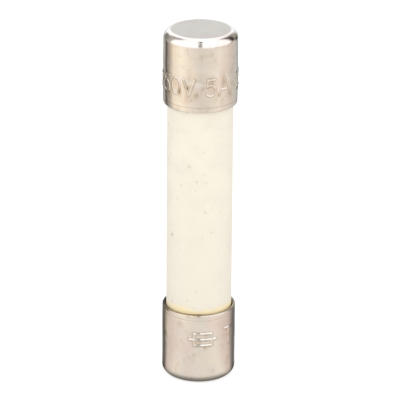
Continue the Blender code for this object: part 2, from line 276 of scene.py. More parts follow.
def smudges(angle, height, seed, spread, count=110):
    """Soft spots scattered round a cap at about height 0, as a sum of upright Gaussians.

    Each has a random bearing, height above the middle, width, height of its own and strength.
    """
    draw = np.random.default_rng(seed)
    field = np.zeros(np.broadcast(angle, height).shape)
    for _ in range(count):
        across = aside(angle, draw.uniform(0.0, TURN)) * CAP_RADIUS
        above = height - draw.normal(0.0, 0.42) * spread
        width = draw.uniform(0.07, 0.30) * MM
        tall = width * draw.uniform(0.8, 2.6)
        field = field + draw.uniform(0.15, 0.75) * bell(across / width) * bell(above / tall)
    return field


def revolve(profile, columns, shift=None):
    """A grid of points, rows x columns x 3: the profile carried round Z.

    shift gives how far each point moves along the profile's normal, from the grid's angles and heights.
    """
    angle = np.linspace(0.0, TURN, columns, endpoint=False)[None, :]
    radius = profile[:, :1] + 0 * angle
    height = profile[:, 1:] + 0 * angle
    if shift is not None:
        normal = outward(profile)
        moved = shift(angle + 0 * height, height)
        moved[0], moved[-1] = 0.0, 0.0
        radius = radius + normal[:, :1] * moved
        height = height + normal[:, 1:] * moved
    return np.stack([radius * np.cos(angle), radius * np.sin(angle), height], 2)


def coiled(radius, turn, height):
    """Points on a coil round Z, from their radius, how many turns they have made, and their height."""
    return np.stack([radius * np.cos(TURN * turn), radius * np.sin(TURN * turn), height], 1)


def wire_grid(path, radius, sides):
    """A grid of points round a path: a circle carried along it, with a pole at either end.

    The circle's axes turn with the path as little as they can. Each end is rounded by shrinking the
    circle as a quarter circle over one radius.
    """
    along = np.gradient(path, axis=0)
    along /= np.linalg.norm(along, axis=1, keepdims=True)
    side = np.cross(along, (0.0, 0.0, 1.0))
    side /= np.linalg.norm(side, axis=1, keepdims=True)
    up = np.cross(side, along)
    a = np.linspace(0.0, TURN, sides, endpoint=False)
    ring = np.cos(a)[None, :, None] * side[:, None] + np.sin(a)[None, :, None] * up[:, None]
    body = path[:, None] + radius * ring
    ease = np.radians(np.linspace(90.0, 0.0, 6))[:-1]
    first = path[0] - along[0] * radius * np.sin(ease)[:, None]
    last = path[-1] + along[-1] * radius * np.sin(ease[::-1])[:, None]
    head = first[:, None] + radius * np.cos(ease)[:, None, None] * ring[0]
    tail = last[:, None] + radius * np.cos(ease[::-1])[:, None, None] * ring[-1]
    return np.concatenate([head, body, tail])


def skin(name, grid, ring=False):
    """A closed mesh object from a grid of points, rows x columns x 3.

    The columns close round on themselves. The rows do too where ring is set; otherwise the first and
    last row are each one point, a pole, with a fan of triangles round it.
    """
    rows, columns = grid.shape[:2]
    index = np.arange(rows * columns).reshape(rows, columns)
    points = grid.reshape(-1, 3)
    if ring:
        index = np.vstack([index, index[:1]])
    else:
        index = index - columns + 1
        index[0], index[-1] = 0, (rows - 2) * columns + 1
        points = np.concatenate([grid[0, :1], grid[1:-1].reshape(-1, 3), grid[-1, :1]])
    after = np.roll(index, -1, axis=1)
    quads = np.stack([index[:-1], index[1:], after[1:], after[:-1]], 2)
    sizes = np.full(quads.shape[:2], 4)
    keep = np.ones(quads.shape, bool)
    if not ring:
        keep[0, :, 3] = False
        keep[-1, :, 2] = False
        sizes[0], sizes[-1] = 3, 3
    loops = quads[keep]
    sizes = sizes.ravel()
    mesh = bpy.data.meshes.new(name)
    mesh.vertices.add(len(points))
    mesh.vertices.foreach_set("co", points.astype(np.float32).ravel())
    mesh.loops.add(len(loops))
    mesh.loops.foreach_set("vertex_index", loops.astype(np.int32))
    mesh.polygons.add(len(sizes))
    mesh.polygons.foreach_set("loop_start", (np.cumsum(sizes) - sizes).astype(np.int32))
    mesh.update(calc_edges=True)
    mesh.validate()
    mesh.shade_smooth()
    obj = bpy.data.objects.new(name, mesh)
    bpy.context.scene.collection.objects.link(obj)
    return obj


def paint(obj, name, values):
    """Stores one number per vertex from a grid that skin() gave poles to."""
    flat = np.concatenate([values[0, :1], values[1:-1].ravel(), values[-1, :1]])
    layer = obj.data.attributes.new(name, "FLOAT", "POINT")
    layer.data.foreach_set("value", flat.astype(np.float32))


def seated(obj, finish, node_name, body="root"):
    """Gives a piece its material, and puts it on its body in place of a CAD node."""
    obj.data.materials.append(finish)
    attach(obj, body)
    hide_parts(node_name)
    return obj


def refinished(node_name, finish):
    """Gives a CAD node that keeps its own mesh a better material."""
    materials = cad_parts[node_name].data.materials
    materials.clear()
    materials.append(finish)


def turned(node_name, corners, finish, body="root", rounding=SMALL_ROUNDING, ring=False):
    """A small turned piece: a profile of corners with eased edges, carried round Z.

    A ring has a hole through it, so its profile is closed instead of starting and ending on the axis.
    """
    if ring:
        middle = tuple((np.array(corners[0]) + np.array(corners[-1])) / 2)
        profile = rounded([middle, *corners, middle], rounding)[:-1]
    else:
        profile = rounded(corners, rounding)
    obj = skin(f"{node_name}_piece", revolve(profile, 144 if ring else 96), ring=ring)
    return seated(obj, finish, node_name, body)


def stepped(*sizes, axis=0.0):
    """The corners of a turned profile, from the height of each step and the radius that follows it.

    It starts and ends on the axis, or at the radius of the hole.
    """
    corners = [(axis, sizes[0])]
    for start, radius, end in zip(sizes[::2], sizes[1::2], sizes[2::2]):
        corners += [(radius, start), (radius, end)]
    return [*corners, (axis, sizes[-1])]


# Stamped text


def strokes(text):
    """The text as an array of segments (x, y, x, y), in letter heights, centred on x = 0."""
    segments, cursor = [], 0.0
    for letter in text:
        shapes, width = GLYPHS[letter]
        for shape in shapes:
            if len(shape) == 4:
                ends = np.array([shape])
            else:
                x, y, across, up, first, last = shape
                a = np.radians(np.linspace(first, last, 25))
                points = np.stack([x + across * np.cos(a), y + up * np.sin(a)], 1)
                ends = np.hstack([points[:-1], points[1:]])
            segments.append(ends + (cursor, 0, cursor, 0))
        cursor += width + LETTER_GAP
    middle = (cursor - LETTER_GAP) / 2
    return np.concatenate(segments) - (middle, 0.5, middle, 0.5)


def stamped(x, y, text, letter_height, stroke):
    """How far a stamped text stands out at each point, from 0 to 1, and how much painted shade lies beside
    it.

    The first is 1 on the middle of a stroke and falls to 0 one stroke width away, as a raised cosine
    of the distance to the nearest segment. The second peaks just past there.
    """
    nearest = np.full(x.shape, 9.0)
    for x0, y0, x1, y1 in strokes(text) * letter_height:
        run = np.array([x1 - x0, y1 - y0])
        along = ((x - x0) * run[0] + (y - y0) * run[1]) / (run @ run)
        along = np.clip(along, 0.0, 1.0)
        away = np.hypot(x - x0 - along * run[0], y - y0 - along * run[1])
        nearest = np.minimum(nearest, away / stroke)
    raised = 0.5 + 0.5 * np.cos(np.pi * np.clip(nearest, 0.0, 1.0))
    return raised, bell((nearest - 1.25) / 0.45)


# Materials


def fill(target, **values):
    """Gives a node its settings and its inputs.

    A name in small letters is a setting. A capital or a number, as in Base_Color or _0, is an input,
    which takes another node's output or a value.
    """
    for key, value in values.items():
        if key[0].islower():
            setattr(target, key, value)
            continue
        name = key.replace("_", " ").strip()
        if name.isdigit():
            socket = target.inputs[int(name)]
        else:
            socket = next(s for s in target.inputs if s.enabled and s.name == name)
        if isinstance(value, bpy.types.NodeSocket):
            target.id_data.links.new(value, socket)
        elif socket.type == "RGBA":
            socket.default_value = (*value, 1.0)
        else:
            socket.default_value = value


def node(tree, kind, output=None, stops=(), **values):
    """Adds a node with its settings, inputs and colour ramp stops, and returns one of its outputs.

    That is the output named, or else the first that the node's settings leave in use.
    """
    made = tree.nodes.new(f"ShaderNode{kind}")
    fill(made, **values)
    for number, (position, tone) in enumerate(stops):
        elements = made.color_ramp.elements
        element = elements[number] if number < 2 else elements.new(1.0)
        element.position = position
        element.color = (*tone, 1.0)
    return made.outputs[output] if output else next(s for s in made.outputs if s.enabled)


def new_material(name):
    """An empty node material: itself, what adds its nodes, its shader and its Object coordinates."""
    made = bpy.data.materials.new(name)
    made.use_nodes = True
    add = partial(node, made.node_tree)
    return made, add, made.node_tree.nodes["Principled BSDF"], add("TexCoord", "Object")


def shade(tone, factor):
    """A colour made darker or lighter."""
    return tuple(c * factor for c in tone)


# Settings that many nodes share: a range with soft ends, and a mix of two colours
EASED = {"interpolation_type": "SMOOTHSTEP"}
COLOURS = {"data_type": "RGBA"}


def plated_nickel(plating, roughness):
    """Bright nickel over drawn brass: a warm mirror, softened by fine draw marks and handling.

    The plating is uneven, so it turns from cream to rose and grey in patches of a few millimetres.
    The soil_and_shade attribute browns it and, where high, blackens it: it holds dirt and cement, painted
    shade in the crease and beside the letters, and painted dark reflections along the lower lip.
    """
    made, add, shader, place = new_material("bright_nickel_on_drawn_brass")
    rose = (plating[0], plating[1] * 0.90, plating[2] * 0.89)
    grey = (plating[0] * 0.93, plating[1] * 0.97, plating[2] * 1.02)
    cream = (plating[0] * 1.04, plating[1] * 1.02, plating[2] * 0.97)
    patches = add("TexNoise", Vector=place, Scale=1 / (3.2 * MM), Detail=2.0, Roughness=0.45)
    tints = [(0.30, rose), (0.47, plating), (0.58, cream), (0.72, grey)]
    tint = add("ValToRGB", stops=tints, Fac=patches)
    blotches = add("TexNoise", Vector=place, Scale=1 / (0.75 * MM), Detail=4.0, Roughness=0.55)
    handled = add("MapRange", **EASED, Value=blotches, From_Min=0.50, From_Max=0.72, To_Max=0.22)
    # soil_and_shade is dirt and cement, with painted shade in the crease and beside the letters and painted
    # dark reflections along the lower lip
    soil_and_shade = add("Attribute", "Fac", attribute_name="soil_and_shade")
    dull = add("Math", operation="MULTIPLY_ADD", use_clamp=True, _0=soil_and_shade, _1=0.5, _2=handled)
    brown, black = linear("#94794C"), linear("#34312B")
    film_and_shade = add("ValToRGB", stops=[(0.0, brown), (0.55, brown), (0.95, black)], Fac=dull)
    soiled_and_shaded = add("Mix", **COLOURS, Factor=dull, A=tint, B=film_and_shade)
    # Draw marks 0.1 mm apart run up the skirt, and finger smears of about 1 mm lie over them
    drawn = add("Mapping", Vector=place, Scale=(1.0, 1.0, 0.06))
    marks = add("TexNoise", Vector=drawn, Scale=1 / (0.10 * MM), Detail=3.0, Roughness=0.6)
    smears = add("TexNoise", Vector=place, Scale=1 / (1.1 * MM), Detail=4.0, Roughness=0.6)
    spread = {"To_Min": roughness * 0.7, "To_Max": roughness * 1.6}
    rough = add("MapRange", Value=smears, From_Min=0.35, From_Max=0.70, **spread)
    fine = add("Bump", Strength=0.30, Distance=0.004 * MM, Height=marks)
    uneven = add("Bump", Strength=0.25, Distance=0.02 * MM, Height=smears, Normal=fine)
    fill(shader, Base_Color=soiled_and_shaded, Roughness=rough, Normal=uneven, Metallic=1.0)
    fill(shader, Specular_Tint=(0.75, 0.74, 0.72))
    return made


def fired_ceramic(settings, mouth):
    """Unglazed cream ceramic, fired: a matte, faintly mottled body with a fine grain.

    It holds sparse dark specks, and near the lower cap, whose mouth is at the given height, it has
    soaked up some cement.
    """
    made, add, shader, place = new_material("fired_cream_ceramic")
    body, fleck = tuple(settings.ceramic), tuple(settings.fleck)
    mottle = add("TexNoise", Vector=place, Scale=1 / (1.6 * MM), Detail=4.0, Roughness=0.55)
    tones = [(0.30, shade(body, 0.95)), (0.50, body), (0.68, shade(body, 1.02))]
    mottled = add("ValToRGB", stops=tones, Fac=mottle)
    height = add("SeparateXYZ", "Z", Vector=place)
    # The lower half is painted a touch darker: painted shade, as less light reaches it
    band = {"From_Min": mouth + 14 * MM, "From_Max": mouth + 2 * MM}
    painted_low_shade = add("MapRange", Value=height, **band, To_Max=0.5)
    specked = add("Mix", **COLOURS, Factor=painted_low_shade, A=mottled, B=shade(body, 0.90))
    # The grain of the clay makes the specks ragged
    clay = add("TexNoise", "Color", Vector=place, Scale=1 / (0.14 * MM), Detail=3.0)
    reach = (0.34 * MM, 0.34 * MM, 0.22 * MM)
    wander = add("VectorMath", operation="MULTIPLY_ADD", _0=clay, _1=reach, _2=place)
    # Pale iron specks of 0.2 mm, and a few dark flecks: cell size, share left out, size, colour, depth
    for cell, left_out, size, tone, depth in (
        (0.72 * MM, 0.15, 0.38, fleck, 0.45),
        (2.10 * MM, 0.45, 0.16, shade(fleck, 0.25), 0.85),
    ):
        distance = add("TexVoronoi", feature="F1", Vector=wander, Scale=1 / cell)
        chosen = add("SeparateColor", Color=distance.node.outputs["Color"])
        edge = add("MapRange", Value=chosen, From_Min=left_out, From_Max=1.0, To_Max=size)
        speck = add("MapRange", **EASED, Value=distance, From_Min=edge, From_Max=0.0, To_Max=depth)
        specked = add("Mix", **COLOURS, Factor=speck, A=specked, B=tone)
    ragged = add("Math", operation="MULTIPLY_ADD", _0=mottle, _1=1.1 * MM, _2=height)
    band = {"From_Min": mouth + 1.25 * MM, "From_Max": mouth + 0.62 * MM}
    soaked = add("MapRange", **EASED, Value=ragged, **band, To_Max=0.95)
    stained = add("Mix", **COLOURS, Factor=soaked, A=specked, B=tuple(settings.stain))
    grain = add("TexNoise", Vector=place, Scale=1 / (0.09 * MM), Detail=3.0, Roughness=0.6)
    bump = add("Bump", Strength=0.35, Distance=0.012 * MM, Height=grain)
    rough = add("MapRange", Value=mottle, From_Min=0.3, From_Max=0.7, To_Min=0.52, To_Max=0.66)
    fill(shader, Base_Color=stained, Roughness=rough, Normal=bump, IOR=1.55)
    return made


def mixed_finish(
    name, dark, light, grain, roughness, metallic=0.0, bump=0.2, stretch=(1, 1, 1), depth=0.01
):
    """A finish that wanders between two colours, with a grain of a given size and its bump.

    It covers turned metal, wire, solder, fibre and sand: what differs is the size of the grain, which
    way it is drawn out, and how rough it leaves the surface. Grain and depth are in millimetres.
    """
    made, add, shader, place = new_material(name)
    drawn = add("Mapping", Vector=place, Scale=stretch)
    field = add("TexNoise", Vector=drawn, Scale=1 / (grain * MM), Detail=4.0, Roughness=0.6)
    tone = add("ValToRGB", stops=[(0.32, dark), (0.68, light)], Fac=field)
    spread = {"To_Min": roughness * 0.85, "To_Max": min(1.0, roughness * 1.2)}
    rough = add("MapRange", Value=field, From_Min=0.3, From_Max=0.7, **spread)
    raised = add("Bump", Strength=bump, Distance=depth * MM, Height=field)
    fill(shader, Base_Color=tone, Roughness=rough, Normal=raised, Metallic=metallic)
    return made


# The finishes inside the tube, as mixed_finish() takes them: dark and light colour, size of the grain,
# roughness, then where they differ from its defaults how metallic it is, its bump, stretch and depth
FINISHES = {
    # Dull silver with soft ripples, as it froze
    "frozen_tin_solder": ("#A9AAAC", "#D3D4D5", 0.5, 0.3, 1.0, 0.5, (1, 1, 1), 0.03),
    # Dull brick red with a papery grain
    "punched_vulcanised_fibre": ("#7E3A2A", "#9C5140", 0.12, 0.75),
    # Yellow metal with fine marks round the axis
    "turned_free_cutting_brass": ("#B98F45", "#E2C27C", 0.35, 0.26, 1.0, 0.3, (1, 1, 14)),
    # Copper-gold with a soft lustre, from the die
    "drawn_phosphor_bronze": ("#B07745", "#DDA873", 0.2, 0.28, 1.0, 0.2),
    # Salmon metal, turned and left bare, that has begun to dull
    "turned_bare_copper": ("#B4674B", "#E09A7C", 0.4, 0.3, 1.0, 0.3, (1, 1, 12)),
    # Brighter and smoother than tin solder
    "poured_low_melting_alloy": ("#B9BBC0", "#DADCE0", 0.6, 0.24, 1.0, 0.3),
    # Off-white rod with a fine woven thread
    "bonded_glass_fibre": ("#D8D8CF", "#F0F0E8", 0.08, 0.7, 0.0, 0.2, (1, 1, 0.2)),
    # Nickel-chromium wire that its own heat turned grey
    "oxidised_resistance_wire": ("#7B746C", "#A39A90", 0.2, 0.38, 1.0),
    # Bright salmon with marks along its length
    "rolled_copper_strip": ("#BE7052", "#E6A385", 0.25, 0.25, 1.0, 0.2, (1, 1, 0.1)),
    # Pale washed grains of about a quarter of a millimetre
    "packed_quartz_sand": ("#BBA98A", "#EFE6D2", 0.12, 0.9, 0.0, 1.0, (1, 1, 1), 0.08),
}


def inner_finish(name):
    """A finish from the list above, made when it is first asked for."""
    if name in bpy.data.materials:
        return bpy.data.materials[name]
    dark, light, *surface = FINISHES[name]
    return mixed_finish(name, linear(dark), linear(light), *surface)


# Operators


class FUSE_OT_caps(bpy.types.Operator):
    """Add the drawn and stamped end caps"""

    bl_idname = "fuse.caps"
    bl_label = "End Caps"

    def profile(self, letter_middle, letter_height):
        """The cap's wall, from the middle of its inner floor over the mouth to its contact face."""
        bore = CAP_RADIUS - CAP_WALL
        fillet = CORNER_RADIUS - CAP_WALL
        floor = bore - fillet
        face = CAP_RADIUS - CORNER_RADIUS
        lip = bore + MOUTH_LIP
        # The lip's arc ends a hair inside the skirt, and the wall slopes out from there
        edge = CAP_RADIUS - lip - 0.012 * MM
        # A close row beside each arc keeps smooth shading off the flats
        ease = 0.03 * MM
        # The rows lie closest where the letters are
        band = 0.5 * letter_height + 0.12 * MM
        skirt_top = CAP_LENGTH - MOUTH_ROUNDING
        runs = [
            line((0, CAP_WALL), (floor - ease, CAP_WALL), 4),
            line((floor - ease, CAP_WALL), (floor, CAP_WALL), 1),
            arc((floor, CAP_WALL + fillet), fillet, 270, 360, 8),
            line((bore, CAP_WALL + fillet), (bore, CAP_LENGTH - ease), 6),
            arc((bore + ease, CAP_LENGTH - ease), ease, 180, 90, 3),
            line((bore + ease, CAP_LENGTH), (lip, CAP_LENGTH), 1),
            arc((lip, CAP_LENGTH - edge), edge, 90, 4, 10),
            line((lip + edge, CAP_LENGTH - edge), (CAP_RADIUS, skirt_top), 8),
            line((CAP_RADIUS, skirt_top), (CAP_RADIUS, letter_middle + band), 16),
            line((CAP_RADIUS, letter_middle + band), (CAP_RADIUS, letter_middle - band), 54),
            line((CAP_RADIUS, letter_middle - band), (CAP_RADIUS, CORNER_RADIUS), 18),
            arc((face, CORNER_RADIUS), CORNER_RADIUS, 0, -90, 22),
            line((face, 0), (face - ease, 0), 1),
            line((face - ease, 0), (0, 0), 7),
            [(0, 0)],
        ]
        return np.concatenate(runs)

    def build(self, name, node_name, upper, text, weight, facing, finish, settings):
        """One cap. The upper one is the same wall turned over; the text stays upright on both.

        weight is how much wider and higher than set its strokes are.
        """
        profile = self.profile(CAP_LENGTH - settings.from_mouth, settings.letter_height)
        mouth = FUSE_TOP - CAP_LENGTH if upper else CAP_LENGTH
        inwards = 1 if upper else -1
        if upper:
            profile = np.stack([profile[:, 0], FUSE_TOP - profile[:, 1]], 1)[::-1]
        middle = mouth + inwards * settings.from_mouth
        crease_height = mouth + inwards * (MOUTH_ROUNDING + CREASE_WIDTH)
        is_skirt = profile[:, 0] > CAP_RADIUS - 1e-7
        outside = np.clip((profile[:, 0] - CAP_RADIUS + CAP_WALL / 2) / (CAP_WALL / 2), 0, 1)[:, None]
        near_outside = profile[:, :1] > CAP_RADIUS - 0.5 * MM
        soil_and_shade = np.zeros((len(profile), settings.columns))

        def shift(angle, height):
            """How far the wall stands out: the drawing's unevenness, the push of the stamp, the text.

            It fills in soil_and_shade too: painted shade along the crease and beside the strokes, and dirt
            in spots.
            """
            stamp, beside = stamped(
                aside(angle, facing)[is_skirt] * CAP_RADIUS,
                height[is_skirt] - middle,
                text,
                settings.letter_height,
                settings.stroke * weight,
            )
            uneven = waves(angle, height, seed=3 if upper else 8)
            pushed = waves(angle, height, seed=13 if upper else 18, coarsest=3.2 * MM, count=24)
            pushed = 0.7 + pushed if upper else 0.35 + 0.35 * pushed
            band = bell((height - middle) / settings.letter_height)
            crease = bell((height - crease_height) / CREASE_WIDTH)
            moved = settings.waviness * (3.0 + uneven) + settings.bulge * band * pushed
            moved = (moved - CREASE_DEPTH * crease) * outside
            moved[is_skirt] += settings.relief * weight * stamp
            spots = smudges(angle, height - middle, 40 if upper else 41, settings.letter_height)
            # Painted shade along the crease below the mouth; the inner faces get none
            soil_and_shade[:] = np.where(near_outside, 0.7 * crease * outside, -1.0)
            # Painted shade beside the raised strokes
            soil_and_shade[is_skirt] += 0.8 * beside
            soil_and_shade[:] += np.minimum(spots, 1.2) * outside * (1.0 if upper else 0.6)
            if not upper:
                # Cement and dirt along the lower lip, partly painted shade that dims its bright reflection;
                # more at its sides is painted dark reflection, and the spot in front is the camera's
                # painted reflection
                from_front = aside(angle, FRONT + 0.03)
                spot = bell(from_front * CAP_RADIUS / LIP_HEIGHT)
                left = np.clip(-0.6 - from_front, 0.0, 1.0)
                right = np.clip(from_front - 0.7, 0.0, 0.8)
                uneven_lip = 0.6 + 0.4 * waves(angle, 0 * height, seed=30)
                along_lip = uneven_lip + 0.4 * spot + 1.6 * left + 1.3 * right
                soil_and_shade[:] += bell((height - mouth) / LIP_HEIGHT) * along_lip - 0.12
            return moved

        obj = skin(name, revolve(profile, settings.columns, shift))
        paint(obj, "soil_and_shade", soil_and_shade)
        return seated(obj, finish, node_name)

    def execute(self, context):
        settings = context.scene.fuse_caps
        finish = plated_nickel(tuple(settings.nickel), settings.roughness)
        for name, upper, text, weight, facing in (
            ("upper_cap", True, settings.rating, 1.0, FRONT),
            ("lower_cap", False, settings.sign, 1.4, FRONT + 0.42),
        ):
            self.build(f"{name}_shell", name, upper, text, weight, facing, finish, settings)
        return {"FINISHED"}


class FUSE_OT_tube(bpy.types.Operator):
    """Add the fired ceramic tube"""

    bl_idname = "fuse.tube"
    bl_label = "Ceramic Tube"

    def execute(self, context):
        bottom, top = TUBE_ENDS
        inner = TUBE_RADIUS - TUBE_WALL
        edge = 0.12 * MM
        middle = (top + bottom) / 2
        runs = [
            line((inner, middle), (inner, top - edge), 12),
            arc((inner + edge, top - edge), edge, 180, 90, 6),
            line((inner + edge, top), (TUBE_RADIUS - edge, top), 4),
            arc((TUBE_RADIUS - edge, top - edge), edge, 90, 0, 6),
            line((TUBE_RADIUS, top - edge), (TUBE_RADIUS, bottom + edge), 150),
            arc((TUBE_RADIUS - edge, bottom + edge), edge, 0, -90, 6),
            line((TUBE_RADIUS - edge, bottom), (inner + edge, bottom), 4),
            arc((inner + edge, bottom + edge), edge, 270, 180, 6),
            line((inner, bottom + edge), (inner, middle), 12),
        ]

        def shift(angle, height):
            """A faint unevenness, all of it inwards."""
            return 0.004 * MM * (waves(angle, height, seed=21) - 1.0)

        obj = skin("ceramic_body", revolve(np.concatenate(runs), 256, shift), ring=True)
        finish = fired_ceramic(context.scene.fuse_tube, CAP_LENGTH)
        seated(obj, finish, "ceramic_tube")
        return {"FINISHED"}


class FUSE_OT_cement(bpy.types.Operator):
    """Add the cement that holds the caps, with the bead that it leaves at each mouth"""

    bl_idname = "fuse.cement"
    bl_label = "Cap Cement"

    def execute(self, context):
        settings = context.scene.fuse_tube
        amber = tuple(settings.cement)
        dark, light = shade(amber, 0.65), shade(amber, 1.25)
        # Amber phenolic cement, cured with a slight skin: it turns darker where it lies thick
        finish = mixed_finish("amber_cap_cement", dark, light, 0.5, 0.35, bump=0.3)
        # It fills the joint all but a hair, so that its faces don't lie in the cap's and the tube's
        hair = 0.004 * MM
        inner = TUBE_RADIUS + hair
        bore = CAP_RADIUS - CAP_WALL - hair
        for side in ("lower", "upper"):
            low, high = (corner.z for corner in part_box(f"{side}_cement_ring"))
            mouth = CAP_LENGTH if side == "lower" else FUSE_TOP - CAP_LENGTH
            into = 1 if side == "lower" else -1
            deep = low if side == "lower" else high
            crest = mouth + into * settings.cement_rise
            brim = mouth - into * 0.06 * MM
            corners = [(inner, deep), (inner, crest), (bore, brim), (bore, deep)][::into]
            start = ((inner + bore) / 2, deep)
            grid = revolve(rounded([start, *corners, start], 0.03 * MM)[:-1], 256)
            # The crest sinks towards the back, unevenly
            angle = np.arctan2(grid[:, :, 1], grid[:, :, 0])
            near = np.clip(1 - np.abs(grid[:, :, 2] - mouth) / (0.3 * MM), 0.0, 1.0)
            sink = settings.cement_slump * (0.5 + 0.5 * np.sin(angle)) ** 0.6
            sink = sink + 0.05 * MM * waves(angle, 0 * angle, seed=5, count=12)
            grid[:, :, 2] -= into * near * np.maximum(sink, 0.0)
            obj = skin(f"{side}_cement_bead", grid, ring=True)
            seated(obj, finish, f"{side}_cement_ring")
        return {"FINISHED"}


class FUSE_OT_end_joints(bpy.types.Operator):
    """Add the solder in each cap and the fibre washers"""

    bl_idname = "fuse.end_joints"
    bl_label = "Solder and Washers"

    def execute(self, context):
        solder = inner_finish("frozen_tin_solder")
        fibre = inner_finish("punched_vulcanised_fibre")
        anchor_hole = SHANK_RADIUS + FIT_GAP
        link_hole = LINK_SIZE.x / 2 + 0.25 * MM
        for name, hole, finish, slot in (
            ("upper_fibre_washer", anchor_hole, fibre, "vulcanised_fibre"),
            ("upper_solder_pad", anchor_hole, solder, "tin_solder"),
            ("lower_fibre_washer", link_hole, fibre, "vulcanised_fibre"),
        ):
            low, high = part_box(name)
            turned(name, stepped(high.z, high.x, low.z, axis=hole), finish, ring=True)
        refinished("lower_solder_pad", solder)
        return {"FINISHED"}


class FUSE_OT_trigger(bpy.types.Operator):
    """Add the spring anchor, the trigger pin that it pulls, and the spring between them"""

    bl_idname = "fuse.trigger"
    bl_label = "Trigger and Spring"

    def spring_path(self, lower_bearing, upper_bearing, settings):
        """The spring's centre line: close turns round each neck, a flare past each head, open coils.

        Angle is the parameter. Radius goes from the neck to the head by a smooth step, and height is
        constant through a flare and rises evenly through the coils.
        """
        wire = settings.spring_wire
        end_coils, flare_coils = 1.25, 0.5
        neck = SHANK_RADIUS + FIT_GAP + wire / 2
        open_radius = HEAD_RADIUS + 0.12 * MM + wire / 2
        turns = 2 * (end_coils + flare_coils) + settings.spring_coils
        turn = np.linspace(0.0, turns, round(turns * 32) + 1)
        from_end = np.minimum(turn, turns - turn)
        flare = np.clip((from_end - end_coils) / flare_coils, 0.0, 1.0)
        radius = neck + (open_radius - neck) * flare * flare * (3 - 2 * flare)
        seat = FIT_GAP + wire / 2
        low, high = lower_bearing - seat, upper_bearing + seat
        behind = end_coils * (wire + FIT_GAP) * (1 - np.minimum(1.0, from_end / end_coils))
        rise = np.clip((turn - end_coils - flare_coils) / settings.spring_coils, 0.0, 1.0)
        height = low + (high - low) * rise + np.where(turn > turns / 2, behind, -behind)
        return coiled(radius, turn, height)

    def execute(self, context):
        settings = context.scene.fuse_element
        brass = inner_finish("turned_free_cutting_brass")
        low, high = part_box("spring_anchor")
        upper_bearing = low.z + HEAD_THICKNESS
        corners = stepped(high.z, SHANK_RADIUS, upper_bearing, HEAD_RADIUS, low.z)
        turned("spring_anchor", corners, brass)
        low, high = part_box("trigger_pin")
        lower_bearing = high.z - HEAD_THICKNESS
        collar_top = lower_bearing - COLLAR_DROP
        collar_base = collar_top - HEAD_THICKNESS
        head_and_neck = (high.z, HEAD_RADIUS, lower_bearing, SHANK_RADIUS)
        corners = stepped(*head_and_neck, collar_top, high.x, collar_base, SHANK_RADIUS, low.z)
        turned("trigger_pin", corners, brass, body="trigger")
        path = self.spring_path(lower_bearing, upper_bearing, settings)
        spring = skin("trigger_spring_wire", wire_grid(path, settings.spring_wire / 2, 16))
        seated(spring, inner_finish("drawn_phosphor_bronze"), "trigger_spring")
        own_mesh(spring)
        return {"FINISHED"}


class FUSE_OT_heater(bpy.types.Operator):
    """Add the heat absorber, its solder, the heater and the ferrule"""

    bl_idname = "fuse.heater"
    bl_label = "Heat Absorber and Heater"

    def execute(self, context):
        settings = context.scene.fuse_element
        low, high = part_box("heat_absorber")
        pour_low, pour_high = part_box("thermal_solder")
        socket_top = low.z + CORE_SEAT + FIT_GAP
        cup_floor = pour_low.z - FIT_GAP
        corners = stepped(cup_floor, CUP_RADIUS, high.z, high.x, low.z, CORE_SOCKET_RADIUS, socket_top)
        copper = inner_finish("turned_bare_copper")
        turned("heat_absorber", corners, copper, rounding=0.15 * MM)
        bore = SHANK_RADIUS + FIT_GAP
        pin_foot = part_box("trigger_pin")[0].z - FIT_GAP
        corners = [
            (0, pin_foot),
            (bore, pin_foot),
            (bore, pour_high.z),
            (pour_high.x, pour_high.z - 0.08 * MM),
            (pour_high.x, pour_low.z),
            (0, pour_low.z),
        ]
        turned("thermal_solder", corners, inner_finish("poured_low_melting_alloy"))
        core_low, core_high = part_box("heater_core")
        corners = stepped(core_high.z, core_high.x, core_low.z)
        turned("heater_core", corners, inner_finish("bonded_glass_fibre"))
        half_wire = settings.heater_wire / 2
        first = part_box("link_ferrule")[1].z + FIT_GAP + half_wire
        last = low.z - FIT_GAP - half_wire
        turns = math.floor((last - first) / settings.heater_pitch)
        turn = np.linspace(0.0, turns, turns * 32 + 1)
        radius = core_high.x + FIT_GAP + half_wire + 0.01 * MM
        path = coiled(radius, turn, first + (last - first) * turn / turns)
        winding = skin("heater_winding_wire", wire_grid(path, half_wire, 14))
        seated(winding, inner_finish("oxidised_resistance_wire"), "heater_winding")
        refinished("link_ferrule", inner_finish("turned_free_cutting_brass"))
        return {"FINISHED"}


class FUSE_OT_link(bpy.types.Operator):
    """Add the notched link, the sand round it and the fibre baffle"""

    bl_idname = "fuse.link"
    bl_label = "Link and Sand"

    def execute(self, context):
        low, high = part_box("fibre_baffle")
        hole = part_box("link_ferrule")[1].x + FIT_GAP
        corners = stepped(high.z, high.x, low.z, axis=hole)
        fibre = inner_finish("punched_vulcanised_fibre")
        turned("fibre_baffle", corners, fibre, ring=True)
        refinished("short_circuit_link", inner_finish("rolled_copper_strip"))
        refinished("quartz_sand", inner_finish("packed_quartz_sand"))
        return {"FINISHED"}


